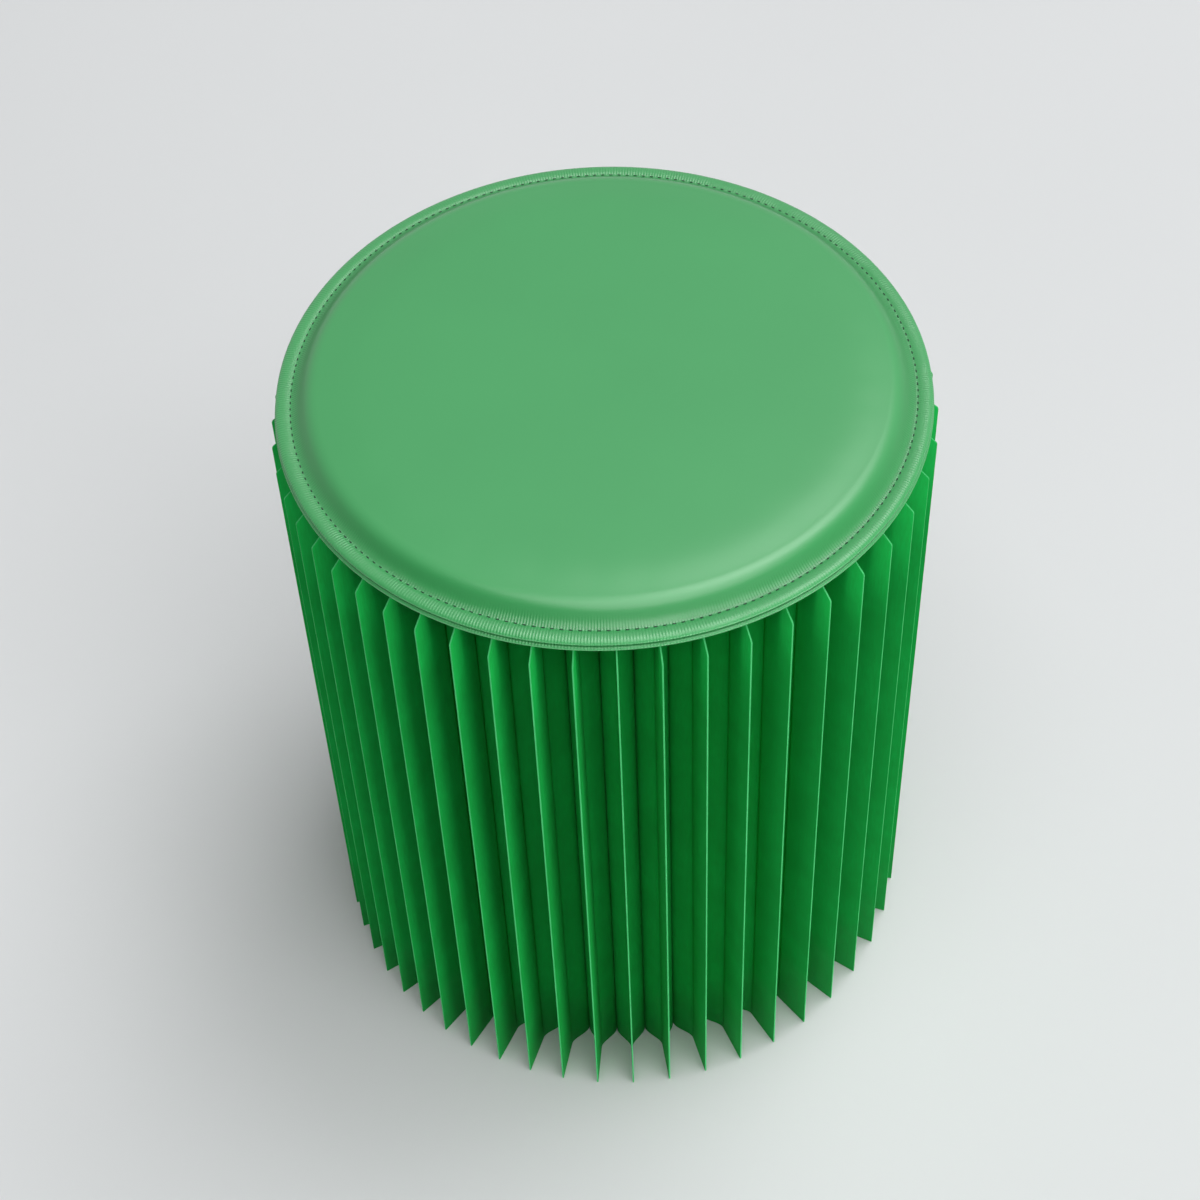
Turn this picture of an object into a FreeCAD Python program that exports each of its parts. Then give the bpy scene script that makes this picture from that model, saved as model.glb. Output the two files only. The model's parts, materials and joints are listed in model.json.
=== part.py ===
import FreeCAD
import Part
import Sketcher
import math
import os

# Folding paper stool, in millimetres and degrees, standing on Z = 0 with its axis on Z.
# Paper leaves are glued like the pages of a book. Opened all the way round, the book makes a ring of
# fins: two leaves meet in each fin, and leaves of neighbouring fins meet in the valleys between them.
# Two cover boards close the ring at the back, and a loose padded seat lies on top.

LEAF_PAIRS = 49
MIDDLE_PAIR = (LEAF_PAIRS + 1) // 2
LAST_PLACE = LEAF_PAIRS + 1
GLUE_STEPS = 5
LAST_FIN_LINE = GLUE_STEPS - 1
MAGNETS_PER_COVER = 3

SIZES = {
    "leaf_height": 420.0,
    "outer_radius": 175.0,
    "corner_cut": 10.0,
    "paper_thickness": 0.35,
    "glue_film": 0.05,
    "glue_width": 8.0,
    "rim_glue_width": 24.0,
    "rim_depth": 42.0,
    "spine_slack": 0.02,
    "front_turn": -90.0,
    "fan_lean": 8.8,
    "board_thickness": 2.0,
    "board_inner_radius": 35.0,
    "board_slack": 0.1,
    "seam_gap": 0.1,
    "magnet_diameter": 12.0,
    "magnet_thickness": 1.2,
    "magnet_fit": 0.3,
    "magnet_recess": 0.1,
    "magnet_inset": 15.0,
    "magnet_end_inset": 60.0,
    "pad_radius": 171.5,
    "lip_width": 13.5,
    "lip_thickness": 3.0,
    "lip_rounding": 1.2,
    "hem_thickness": 3.0,
    "hem_setback": 0.2,
    "skin_thickness": 1.2,
    "crown_height": 10.5,
    "crown_dome": 2.0,
    "foam_fit": 0.3,
    "stitch_inset": 8.2,
    "thread_width": 0.8,
    "thread_height": 0.4,
}

# A glue strip alternates between the fin (even lines) and the valley (odd lines), from the rim inwards.
# The strip at the rim is wide, so the fins stand stiff, and the first valley lies at the rim depth.
STRIP_ENDS = [(line, end) for line in range(GLUE_STEPS + 1) for end in ("outer", "inner")]

document = FreeCAD.newDocument("paper_stool")
sheet = document.addObject("Spreadsheet::Sheet", "sizes")
aliases = []


def add_cell(alias, content):
    """Put one named value or formula in the next row of the sheet."""
    aliases.append(alias)
    row = len(aliases)
    sheet.set(f"A{row}", alias)
    sheet.set(f"B{row}", str(content))
    sheet.setAlias(f"B{row}", alias)


def number(formula):
    """The value that a formula has now."""
    value = sheet.evalExpression(formula)
    return float(getattr(value, "Value", value))


def add_fan_cells():
    """Where each fin points, and how far each leaf spreads from its fin to the valley beside it."""
    cover_reach = "seam_gap / 2 + board_thickness + 2 * glue_film + paper_thickness + board_slack"
    add_cell("cover_half_gap", f"=atan(({cover_reach}) / board_inner_radius) / 1 deg")
    add_cell("fan_step", f"=(360 - 2 * cover_half_gap) / {LEAF_PAIRS}")

    def turn_at(place):
        along = f"({place - MIDDLE_PAIR}) * fan_step"
        return f"front_turn + {along} + fan_lean * (1 - cos({along} * 1 deg))"

    for place in range(1, LAST_PLACE):
        add_cell(f"turn_{place:02d}", "=" + turn_at(place))
    add_cell("turn_00", f"={turn_at(0.5)} - cover_half_gap")
    add_cell(f"turn_{LAST_PLACE}", f"={turn_at(LAST_PLACE - 0.5)} + cover_half_gap")

    add_cell("half_gap_00", "=turn_01 - turn_00 - cover_half_gap")
    for valley in range(1, LEAF_PAIRS):
        add_cell(f"half_gap_{valley:02d}", f"=(turn_{valley + 1:02d} - turn_{valley:02d}) / 2")
    add_cell(f"half_gap_{LEAF_PAIRS}", f"=turn_{LAST_PLACE} - turn_{LEAF_PAIRS} - cover_half_gap")


def add_leaf_cells():
    """The spine, where the leaves lie packed side by side, and the ends of the glue strips along a leaf."""
    add_cell("narrow_half_gap", "=fan_step / 2 - fan_lean * sin(fan_step / 2 * 1 deg)")
    leaf_room = "paper_thickness + glue_film + spine_slack"
    add_cell("spine_radius", f"=({leaf_room}) / tan(narrow_half_gap * 1 deg)")
    add_cell("glue_pitch", f"=(outer_radius - rim_depth - spine_radius) / {GLUE_STEPS - 1}")
    for line, end in STRIP_ENDS:
        middle = f"outer_radius - rim_depth - {line - 1} * glue_pitch"
        shift = {"outer": "+ glue_width / 2", "inner": "- glue_width / 2"}[end]
        if line == 0:
            middle = "outer_radius"
            shift = {"outer": "", "inner": "- rim_glue_width"}[end]
        if (line, end) == (GLUE_STEPS, "inner"):
            shift = ""
        add_cell(f"strip_{line}_{end}", f"={middle} {shift}")
    add_cell("pair_lift", "=glue_film / 2")
    add_cell("cover_lift", "=seam_gap / 2 + board_thickness + glue_film")
    add_cell("cover_strip_end", f"=min(board_inner_radius; strip_{LAST_FIN_LINE}_inner)")


def add_cover_cells():
    """Where the magnets sit in their pockets."""
    add_cell("pocket_radius", "=magnet_diameter / 2 + magnet_fit")
    add_cell("pocket_depth", "=magnet_thickness + magnet_recess")
    add_cell("magnet_radius", "=magnet_diameter / 2")
    add_cell("magnet_place", "=outer_radius - magnet_inset")
    add_cell("magnet_start", "=seam_gap / 2 + magnet_recess")
    for index in range(MAGNETS_PER_COVER):
        share = f"{index} / {MAGNETS_PER_COVER - 1}"
        height = f"magnet_end_inset + (leaf_height - 2 * magnet_end_inset) * {share}"
        add_cell(f"magnet_height_{index}", "=" + height)


def add_pad_cells():
    """Heights and radii of the seat pad, from the leaf tops upwards and from the rim inwards."""
    add_cell("skin_top", "=leaf_height + skin_thickness")
    add_cell("hem_top", "=leaf_height + hem_thickness")
    add_cell("lip_top", "=hem_top + lip_thickness")
    add_cell("lip_shoulder", "=lip_top - lip_rounding")
    add_cell("crown_top", "=lip_top + crown_height")
    add_cell("dome_top", "=crown_top + crown_dome")
    add_cell("hem_radius", "=pad_radius - hem_setback")
    add_cell("lip_flat", "=pad_radius - lip_rounding")
    add_cell("crown_radius", "=pad_radius - lip_width")
    add_cell("crown_flat", "=crown_radius - crown_height")
    add_cell("dome_radius", "=(crown_flat ^ 2 + crown_dome ^ 2) / (2 * crown_dome)")
    add_cell("cover_bore", "=crown_radius - skin_thickness")
    add_cell("bore_rounding", "=crown_height - skin_thickness")
    add_cell("bore_top", "=crown_top - skin_thickness")
    add_cell("bore_dome", "=dome_top - skin_thickness")
    add_cell("foam_radius", "=cover_bore - foam_fit")
    add_cell("foam_rounding", "=bore_rounding - foam_fit")
    add_cell("foam_top", "=bore_top - foam_fit")
    add_cell("foam_dome", "=bore_dome - foam_fit")
    add_cell("base_radius", "=crown_radius - foam_fit")
    add_cell("base_thickness", "=hem_thickness - skin_thickness")
    add_cell("stitch_radius", "=pad_radius - stitch_inset")
    add_cell("thread_inner", "=stitch_radius - thread_width / 2")
    add_cell("thread_outer", "=stitch_radius + thread_width / 2")
    add_cell("thread_top", "=lip_top + thread_height")


def side_geometry(start, end, radius, turn):
    """A straight side, or a round one that turns left or right on its way, and the ids of its two ends."""
    if radius is None:
        return Part.LineSegment(start, end), 1, 2
    along = end - start
    across = FreeCAD.Vector(-along.y, along.x, 0).normalize()
    rise = math.sqrt(radius ** 2 - (along.Length / 2) ** 2)
    centre = (start + end) / 2 + across * (rise if turn == "left" else -rise)
    first, last = (start, end) if turn == "left" else (end, start)
    from_angle = math.atan2(first.y - centre.y, first.x - centre.x)
    to_angle = math.atan2(last.y - centre.y, last.x - centre.x)
    circle = Part.Circle(centre, FreeCAD.Vector(0, 0, 1), radius)
    arc = Part.ArcOfCircle(circle, from_angle, to_angle)
    return (arc, 1, 2) if turn == "left" else (arc, 2, 1)


def draw_outline(sketch, corners, rounds=None):
    """Draw a closed outline through corners given as pairs of formulas, and bind every size of it.

    rounds gives the formula of the radius, and the turn, of each round side by the number of its first corner.
    """
    rounds = rounds or {}
    points = [FreeCAD.Vector(number(x), number(y), 0) for x, y in corners]
    bindings = []
    ends = []
    for index, start in enumerate(points):
        end = points[(index + 1) % len(points)]
        formula, turn = rounds.get(index, (None, None))
        radius = number(formula) if formula else None
        side, first, last = side_geometry(start, end, radius, turn)
        sketch.addGeometry(side, False)
        ends.append((first, last))
        if formula:
            bindings.append((Sketcher.Constraint("Radius", index, radius), formula))
    joins = []
    for index, (_, last) in enumerate(ends):
        following = (index + 1) % len(ends)
        joins.append(Sketcher.Constraint("Coincident", index, last, following, ends[following][0]))
    for index, (x, y) in enumerate(corners):
        first = ends[index][0]
        place = points[index]
        bindings.append((Sketcher.Constraint("DistanceX", -1, 1, index, first, place.x), x))
        bindings.append((Sketcher.Constraint("DistanceY", -1, 1, index, first, place.y), y))
    sketch.addConstraint(joins + [constraint for constraint, _ in bindings])
    for index, (_, formula) in enumerate(bindings):
        sketch.setExpression(f"Constraints[{len(joins) + index}]", formula)


def turned(piece, place):
    """Turn a piece drawn along +X to where its fin points."""
    piece.Placement = FreeCAD.Placement(FreeCAD.Vector(), FreeCAD.Rotation(FreeCAD.Vector(0, 0, 1), 0))
    piece.setExpression("Placement.Rotation.Angle", f"sizes.turn_{place:02d} * 1 deg")


def side_corners():
    """The outline of a leaf or a board seen from its side, with the top outer corner cut off."""
    return [
        ("0", "0"),
        ("sizes.outer_radius", "0"),
        ("sizes.outer_radius", "sizes.leaf_height - sizes.corner_cut"),
        ("sizes.outer_radius - sizes.corner_cut", "sizes.leaf_height"),
        ("0", "sizes.leaf_height"),
    ]


def make_side_block():
    """A wide block with a leaf's side outline, which trims every leaf."""
    sketch = document.addObject("Sketcher::SketchObject", "leaf_side_outline")
    sketch.Placement = FreeCAD.Placement(
        FreeCAD.Vector(), FreeCAD.Rotation(FreeCAD.Vector(1, 0, 0), 90)
    )
    draw_outline(sketch, side_corners())
    block = document.addObject("Part::Extrusion", "leaf_side_block")
    block.Base = sketch
    block.DirMode = "Normal"
    block.Solid = True
    block.Symmetric = True
    block.setExpression("LengthFwd", "sizes.outer_radius")
    return block


def make_leaf(name, side_block, half_gap, lift, other_ends=None):
    """One paper leaf along +X, folded to and fro between its fin (Y = 0) and the valley on its +Y side.

    other_ends gives the formula of each glue strip's end that is not where the other leaves have it.
    """
    other_ends = other_ends or {}
    near_face = []
    for line, end in STRIP_ENDS:
        along = other_ends.get((line, end), f"sizes.strip_{line}_{end}")
        if line % 2 == 0:
            near_face.append((along, f"sizes.{lift}"))
        else:
            valley = f"{along} * tan(sizes.{half_gap} * 1 deg)"
            near_face.append((along, f"{valley} - sizes.glue_film / 2 - sizes.paper_thickness"))
    far_face = [(x, f"{y} + sizes.paper_thickness") for x, y in near_face]

    sketch = document.addObject("Sketcher::SketchObject", f"{name}_folds")
    draw_outline(sketch, near_face + far_face[::-1])
    sheet_of_paper = document.addObject("Part::Extrusion", f"{name}_sheet")
    sheet_of_paper.Base = sketch
    sheet_of_paper.DirMode = "Normal"
    sheet_of_paper.Solid = True
    sheet_of_paper.setExpression("LengthFwd", "sizes.leaf_height")
    leaf = document.addObject("Part::Common", name)
    leaf.Base = sheet_of_paper
    leaf.Tool = side_block
    return leaf


def mirror_leaf(leaf):
    """The same leaf on the other side of its fin."""
    mirrored = document.addObject("Part::Mirroring", f"{leaf.Name}_mirrored")
    mirrored.Source = leaf
    mirrored.Normal = FreeCAD.Vector(0, 1, 0)
    return mirrored


def make_group(label, members, place):
    """A node of one or more solids, turned to its place in the ring."""
    group = document.addObject("Part::Compound", label)
    group.Label = label
    group.Links = members
    turned(group, place)
    return group


def make_leaf_pairs(side_block):
    """Every pair of leaves. Both leaves of a valley have the same shape, one the mirror of the other."""
    leaves = []
    for valley in range(LAST_PLACE):
        leaves.append(make_leaf(f"leaf_{valley:02d}", side_block, f"half_gap_{valley:02d}", "pair_lift"))
    pairs = []
    for place in range(1, LAST_PLACE):
        members = [mirror_leaf(leaves[place - 1]), leaves[place]]
        pairs.append(make_group(f"leaf_pair_{place:02d}", members, place))
    return pairs


def origin_plane(body, role):
    """One of a body's own origin planes."""
    return next(plane for plane in body.Origin.OriginFeatures if plane.Role == role)


def new_sketch(body, name, role):
    """A sketch on one of a body's own origin planes."""
    sketch = body.newObject("Sketcher::SketchObject", name)
    sketch.AttachmentSupport = [(origin_plane(body, role), "")]
    sketch.MapMode = "FlatFace"
    return sketch


def make_cover_board(side, place):
    """A stiff cover, flat on the seam, with pockets for the magnets in its seam face."""
    label = f"cover_board_{side}"
    is_left = side == "left"
    body = document.addObject("PartDesign::Body", label)
    body.Label = label

    outline = new_sketch(body, f"{label}_outline", "XZ_Plane")
    bottom_inner, bottom_outer, *upper, top_inner = side_corners()
    inner = "sizes.board_inner_radius"
    draw_outline(outline, [(inner, bottom_inner[1]), bottom_outer, *upper, (inner, top_inner[1])])
    outline.setExpression(
        "AttachmentOffset.Base.z", "-sizes.seam_gap / 2" if is_left else "sizes.seam_gap / 2"
    )
    board = body.newObject("PartDesign::Pad", f"{label}_board")
    board.Profile = outline
    board.Reversed = is_left
    board.setExpression("Length", "sizes.board_thickness")

    circles = new_sketch(body, f"{label}_pocket_circles", "XZ_Plane")
    circles.setExpression(
        "AttachmentOffset.Base.z", "-sizes.seam_gap / 2" if is_left else "sizes.seam_gap / 2"
    )
    draw_magnet_circles(circles)
    pockets = body.newObject("PartDesign::Pocket", f"{label}_pockets")
    pockets.Profile = circles
    pockets.Reversed = not is_left
    pockets.setExpression("Length", "sizes.pocket_depth")
    turned(body, place)
    return body


def draw_magnet_circles(sketch):
    """One circle for each magnet, up the outer edge of a cover."""
    for index in range(MAGNETS_PER_COVER):
        sizes = ("sizes.magnet_place", f"sizes.magnet_height_{index}", "sizes.pocket_radius")
        across, up, radius = (number(formula) for formula in sizes)
        sketch.addGeometry(Part.Circle(FreeCAD.Vector(across, up, 0), FreeCAD.Vector(0, 0, 1), radius))
        constraints = [
            Sketcher.Constraint("DistanceX", -1, 1, index, 3, across),
            Sketcher.Constraint("DistanceY", -1, 1, index, 3, up),
            Sketcher.Constraint("Radius", index, radius),
        ]
        for constraint, formula in zip(constraints, sizes):
            number_of_constraint = sketch.addConstraint(constraint)
            sketch.setExpression(f"Constraints[{number_of_constraint}]", formula)


def make_cover_magnets(side, place):
    """The disc magnets of one cover, seated on the floors of their pockets."""
    label = f"cover_magnets_{side}"
    sign = 1 if side == "left" else -1
    discs = []
    for index in range(MAGNETS_PER_COVER):
        disc = document.addObject("Part::Cylinder", f"{label}_{index}")
        disc.Placement = FreeCAD.Placement(
            FreeCAD.Vector(), FreeCAD.Rotation(FreeCAD.Vector(1, 0, 0), -90 * sign)
        )
        disc.setExpression("Radius", "sizes.magnet_radius")
        disc.setExpression("Height", "sizes.magnet_thickness")
        disc.setExpression("Placement.Base.x", "sizes.magnet_place")
        disc.setExpression("Placement.Base.y", f"{sign} * sizes.magnet_start")
        disc.setExpression("Placement.Base.z", f"sizes.magnet_height_{index}")
        discs.append(disc)
    return make_group(label, discs, place)


def make_cover_leaves(side_block):
    """The first and last leaf of the book, each glued to its cover board right up to the board's inner edge."""
    board_edge = {(LAST_FIN_LINE, "inner"): "sizes.cover_strip_end"}
    left = make_leaf("first_leaf", side_block, "cover_half_gap", "cover_lift", board_edge)
    right = mirror_leaf(left)
    return [
        make_group("cover_leaf_left", [left], 0),
        make_group("cover_leaf_right", [right], LAST_PLACE),
    ]


def make_round_piece(label, corners, rounds=None):
    """A round piece of the pad, from half of its section."""
    body = document.addObject("PartDesign::Body", label)
    body.Label = label
    section = new_sketch(body, f"{label}_section", "XZ_Plane")
    draw_outline(section, corners, rounds)
    turn = body.newObject("PartDesign::Revolution", f"{label}_turned")
    turn.Profile = section
    turn.ReferenceAxis = (section, ["V_Axis"])
    turn.Angle = 360
    return body


def make_pad_bottom_cover():
    """The lower panel of leatherette, doubled into a hem at its edge."""
    return make_round_piece("pad_bottom_cover", [
        ("0", "sizes.leaf_height"),
        ("sizes.hem_radius", "sizes.leaf_height"),
        ("sizes.hem_radius", "sizes.hem_top"),
        ("sizes.crown_radius", "sizes.hem_top"),
        ("sizes.crown_radius", "sizes.skin_top"),
        ("0", "sizes.skin_top"),
    ])


def make_pad_base_board():
    """The stiff disc that lies inside the hem."""
    base = document.addObject("Part::Cylinder", "pad_base_board")
    base.Label = "pad_base_board"
    base.setExpression("Radius", "sizes.base_radius")
    base.setExpression("Height", "sizes.base_thickness")
    base.setExpression("Placement.Base.z", "sizes.skin_top")
    return base


def make_pad_foam():
    """The foam, with round shoulders and a slightly domed top."""
    return make_round_piece("pad_foam", [
        ("0", "sizes.hem_top"),
        ("sizes.foam_radius", "sizes.hem_top"),
        ("sizes.foam_radius", "sizes.lip_top"),
        ("sizes.crown_flat", "sizes.foam_top"),
        ("0", "sizes.foam_dome"),
    ], {2: ("sizes.foam_rounding", "left"), 3: ("sizes.dome_radius", "left")})


def make_pad_top_cover():
    """The upper panel: a flat sewn lip, drawn in to a crease, then round shoulders and a domed top."""
    return make_round_piece("pad_top_cover", [
        ("sizes.cover_bore", "sizes.hem_top"),
        ("sizes.pad_radius", "sizes.hem_top"),
        ("sizes.pad_radius", "sizes.lip_shoulder"),
        ("sizes.lip_flat", "sizes.lip_top"),
        ("sizes.crown_radius", "sizes.lip_top"),
        ("sizes.crown_flat", "sizes.crown_top"),
        ("0", "sizes.dome_top"),
        ("0", "sizes.bore_dome"),
        ("sizes.crown_flat", "sizes.bore_top"),
        ("sizes.cover_bore", "sizes.lip_top"),
    ], {
        2: ("sizes.lip_rounding", "left"),
        4: ("sizes.crown_height", "left"),
        5: ("sizes.dome_radius", "left"),
        7: ("sizes.dome_radius", "right"),
        8: ("sizes.bore_rounding", "right"),
    })


def make_pad_seam_thread():
    """The thread of the lip's seam, as one flat ring along the line of stitches."""
    return make_round_piece("pad_seam_thread", [
        ("sizes.thread_inner", "sizes.lip_top"),
        ("sizes.thread_outer", "sizes.lip_top"),
        ("sizes.thread_outer", "sizes.thread_top"),
        ("sizes.thread_inner", "sizes.thread_top"),
    ])


def write_nodes(nodes):
    """Check that everything came out sound, then write one file for each node."""
    for item in document.Objects:
        if "Invalid" in item.State or "Error" in item.State:
            raise RuntimeError(f"{item.Label} failed: {item.State}")
    for node in nodes:
        if node.Shape.isNull() or not node.Shape.isValid():
            raise RuntimeError(f"{node.Label} has no sound shape")
    os.makedirs("parts", exist_ok=True)
    for node in nodes:
        node.Shape.exportStep(f"parts/{node.Label}.step")
        box = node.Shape.BoundBox
        print(f"{node.Label}: {len(node.Shape.Solids)} solids, {node.Shape.Volume:.1f} mm3, top {box.ZMax:.2f}")


for alias, size in SIZES.items():
    add_cell(alias, size)
add_fan_cells()
add_leaf_cells()
add_cover_cells()
add_pad_cells()
document.recompute()

trim = make_side_block()
nodes = make_leaf_pairs(trim)
nodes += make_cover_leaves(trim)
for cover_side, cover_place in (("left", 0), ("right", LAST_PLACE)):
    nodes.append(make_cover_board(cover_side, cover_place))
    nodes.append(make_cover_magnets(cover_side, cover_place))
nodes.append(make_pad_bottom_cover())
nodes.append(make_pad_base_board())
nodes.append(make_pad_foam())
nodes.append(make_pad_top_cover())
nodes.append(make_pad_seam_thread())
document.recompute()
write_nodes(nodes)
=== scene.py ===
# %% [markdown]
# # A folding paper stool, dressed in Blender
# The stool is a book of green paper leaves. Opened all the way round, it makes a ring of fins, and a loose
# leatherette pad lies on top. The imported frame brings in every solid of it, in place and in metres.
# The cells below dress those solids one kind at a time: a camera and light first, so that every step can
# be looked at, then the paper, the covers, the pad and its stitches.

# %% Load the frame
import json
import math

import bmesh
import bpy
from mathutils import Matrix, Vector


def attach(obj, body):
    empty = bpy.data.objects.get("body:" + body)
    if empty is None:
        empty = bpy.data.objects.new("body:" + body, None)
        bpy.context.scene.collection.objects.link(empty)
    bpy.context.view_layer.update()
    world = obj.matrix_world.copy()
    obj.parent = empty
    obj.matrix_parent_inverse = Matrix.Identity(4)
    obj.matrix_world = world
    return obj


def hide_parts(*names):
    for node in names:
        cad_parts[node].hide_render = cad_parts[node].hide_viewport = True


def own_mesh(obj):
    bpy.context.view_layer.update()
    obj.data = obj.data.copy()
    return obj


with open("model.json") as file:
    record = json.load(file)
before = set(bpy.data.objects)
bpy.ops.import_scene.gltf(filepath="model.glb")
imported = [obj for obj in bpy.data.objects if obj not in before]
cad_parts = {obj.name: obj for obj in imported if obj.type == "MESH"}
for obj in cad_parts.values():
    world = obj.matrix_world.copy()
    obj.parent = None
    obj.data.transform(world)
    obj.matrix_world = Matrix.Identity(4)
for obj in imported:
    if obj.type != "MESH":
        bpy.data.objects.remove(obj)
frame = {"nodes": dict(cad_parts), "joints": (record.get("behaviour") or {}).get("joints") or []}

scene = bpy.context.scene
MM = 0.001
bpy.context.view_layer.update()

# %% [markdown]
# ## The camera
# The stool is seen from above and in front, nearly straight on, with the camera rolled a little.
# A camera can be placed by eye, but then every later comparison carries that error. Here its place was
# worked out once from the tips of the fins, and is given as a distance, a pitch and a roll about an aim
# point near the middle of the stool.

# %% Camera
PICTURE_SIDE = 1200
FOCAL_LENGTH_PIXELS = 2583.1
CAMERA_PITCH = math.radians(50.837)
CAMERA_ROLL = math.radians(-2.637)
CAMERA_DISTANCE = 1482.9 * MM
AIM_POINT = Vector((-6.85, 0.0, 249.01)) * MM


def place_camera():
    """Point a camera along the line of sight, rolled about it."""
    line_of_sight = Vector((0, math.cos(CAMERA_PITCH), -math.sin(CAMERA_PITCH)))
    level_up = Vector((0, math.sin(CAMERA_PITCH), math.cos(CAMERA_PITCH)))
    level_right = Vector((1, 0, 0))
    right = level_right * math.cos(CAMERA_ROLL) + level_up * math.sin(CAMERA_ROLL)
    up = level_up * math.cos(CAMERA_ROLL) - level_right * math.sin(CAMERA_ROLL)
    camera = bpy.data.objects.new("camera", bpy.data.cameras.new("camera"))
    scene.collection.objects.link(camera)
    turn = Matrix((right, up, -line_of_sight)).transposed().to_4x4()
    camera.matrix_world = Matrix.Translation(AIM_POINT - line_of_sight * CAMERA_DISTANCE) @ turn
    camera.data.lens = camera.data.sensor_width * FOCAL_LENGTH_PIXELS / PICTURE_SIDE
    return camera


scene.camera = place_camera()
print("camera at, mm:", [round(x / MM) for x in scene.camera.matrix_world.translation])

# %% [markdown]
# ## Nodes and colours
# Materials and Geometry Nodes are both trees of nodes, so one small function serves them all: it adds a
# node, gives it its settings, and links or sets its inputs. Colours are written the way a colour picker
# shows them, as sRGB hex values, and are turned into the linear values that the renderer works in.

# %% Helpers for nodes and colours
MIX_A, MIX_B, MIX_RESULT = 6, 7, 2  # the colour sockets of a Mix node, which share their names with others


def add_node(tree, kind, inputs=None, **settings):
    """Add a node, give it its settings, and link or set its inputs by name or number."""
    node = tree.nodes.new(kind)
    for name, value in settings.items():
        setattr(node, name, value)
    for socket, value in (inputs or {}).items():
        for given in value if isinstance(value, list) else [value]:
            if isinstance(given, bpy.types.NodeSocket):
                tree.links.new(given, node.inputs[socket])
            else:
                node.inputs[socket].default_value = given
    return node


def linear(hex_colour):
    """The linear colour of an sRGB hex value."""
    parts = [int(hex_colour[i:i + 2], 16) / 255 for i in (1, 3, 5)]
    return tuple(p / 12.92 if p <= 0.04045 else ((p + 0.055) / 1.055) ** 2.4 for p in parts) + (1.0,)


def start_material(name, roughness, ior=1.5):
    """A new material with its shader, and the piece's own coordinates."""
    material = bpy.data.materials.new(name)
    material.use_nodes = True
    tree = material.node_tree
    shader = tree.nodes["Principled BSDF"]
    shader.inputs["Roughness"].default_value = roughness
    shader.inputs["IOR"].default_value = ior
    place = add_node(tree, "ShaderNodeTexCoord").outputs["Object"]
    return material, tree, shader, place


print("a mid green in linear light:", [round(part, 3) for part in linear("#5AAA6D")])

# %% [markdown]
# ## Floor and light
# A pale seamless floor fills the picture. Half of its light comes from a broad soft lamp, high and a little
# to the front right, so the stool's own shadow lies soft round its foot. A second one, high at the back
# right, puts the sheen on the pad's shoulder. Two long low ones leave the floor almost alone: the one at the
# front right draws the bright strips along the fins, and a weaker one at the front left fills the fins that
# turn away from it. A faint glow from all round is the rest. The shares add up to one: a level surface then
# gets the light that makes its colour render about as written.
# Shiny things mirror a pale wall behind the stool and a dark room in front of it, as in a studio, so the
# pad's top is pale with sheen while its front slope keeps its full green.

# %% Floor and light
FLOOR_COLOUR = "#E3E5E6"
FLOOR_HALF_SIDE = 3.0
FLOOR_DROP = 0.2 * MM  # keeps the floor just clear of the leaves that stand on it
FLOOR_MOTTLE = 350 * MM
WALL_START, WALL_FULL = -0.3, 0.4  # how far back a mirrored direction leans where the pale wall starts
LAMP_DISTANCE = 8.0
LAMPS = {  # widths and heights in metres; the share is of the light that falls on the floor
    "broad_lamp": {"direction": (0.16, -0.28, 0.95), "width": 7.0, "height": 7.0, "share": 0.54},
    "sheen_lamp": {"direction": (0.33, 0.24, 0.88), "width": 4.4, "height": 4.4, "share": 0.31},
    "strip_lamp": {"direction": (0.68, -0.73, 0.08), "width": 6.0, "height": 1.0, "share": 0.044},
    "fill_lamp": {"direction": (-0.47, -0.88, 0.08), "width": 7.5, "height": 1.0, "share": 0.016},
}
GLOW_SHARE = 1 - sum(lamp["share"] for lamp in LAMPS.values())


def make_floor():
    """A wide level sheet of pale matt paint."""
    material, tree, shader, place = start_material("matt_wall_paint", 0.9)
    mottle = add_node(tree, "ShaderNodeTexNoise", {"Vector": place, "Scale": 1 / FLOOR_MOTTLE, "Detail": 2.0})
    blend = add_node(tree, "ShaderNodeMix", {
        "Factor": mottle.outputs["Fac"], MIX_A: linear("#E0E2E3"), MIX_B: linear(FLOOR_COLOUR),
    }, data_type="RGBA")
    tree.links.new(blend.outputs[MIX_RESULT], shader.inputs["Base Color"])
    mesh = bpy.data.meshes.new("floor")
    sheet = bmesh.new()
    bmesh.ops.create_grid(sheet, x_segments=4, y_segments=4, size=FLOOR_HALF_SIDE)
    bmesh.ops.translate(sheet, verts=sheet.verts, vec=(0, 0, -FLOOR_DROP))
    sheet.to_mesh(mesh)
    sheet.free()
    mesh.materials.append(material)
    floor = bpy.data.objects.new("floor", mesh)
    scene.collection.objects.link(floor)


def hang_lamp(name, direction, width, height, share):
    """A soft lamp that faces the foot of the stool, and gives the floor its share of the light."""
    way = Vector(direction).normalized()
    # the edges of a wide lamp are further off and slanted
    spread_loss = 1 + 0.15 * (width ** 2 + height ** 2) / LAMP_DISTANCE ** 2
    lamp = bpy.data.lights.new(name, "AREA")
    lamp.shape = "RECTANGLE"
    lamp.size = width
    lamp.size_y = height
    lamp.energy = share * spread_loss / way.z * (math.pi * LAMP_DISTANCE) ** 2
    holder = bpy.data.objects.new(name, lamp)
    scene.collection.objects.link(holder)
    holder.location = way * LAMP_DISTANCE
    holder.rotation_mode = "QUATERNION"
    holder.rotation_quaternion = way.to_track_quat("Z", "Y")
    print(name, "power, W:", round(lamp.energy, 1))


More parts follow.
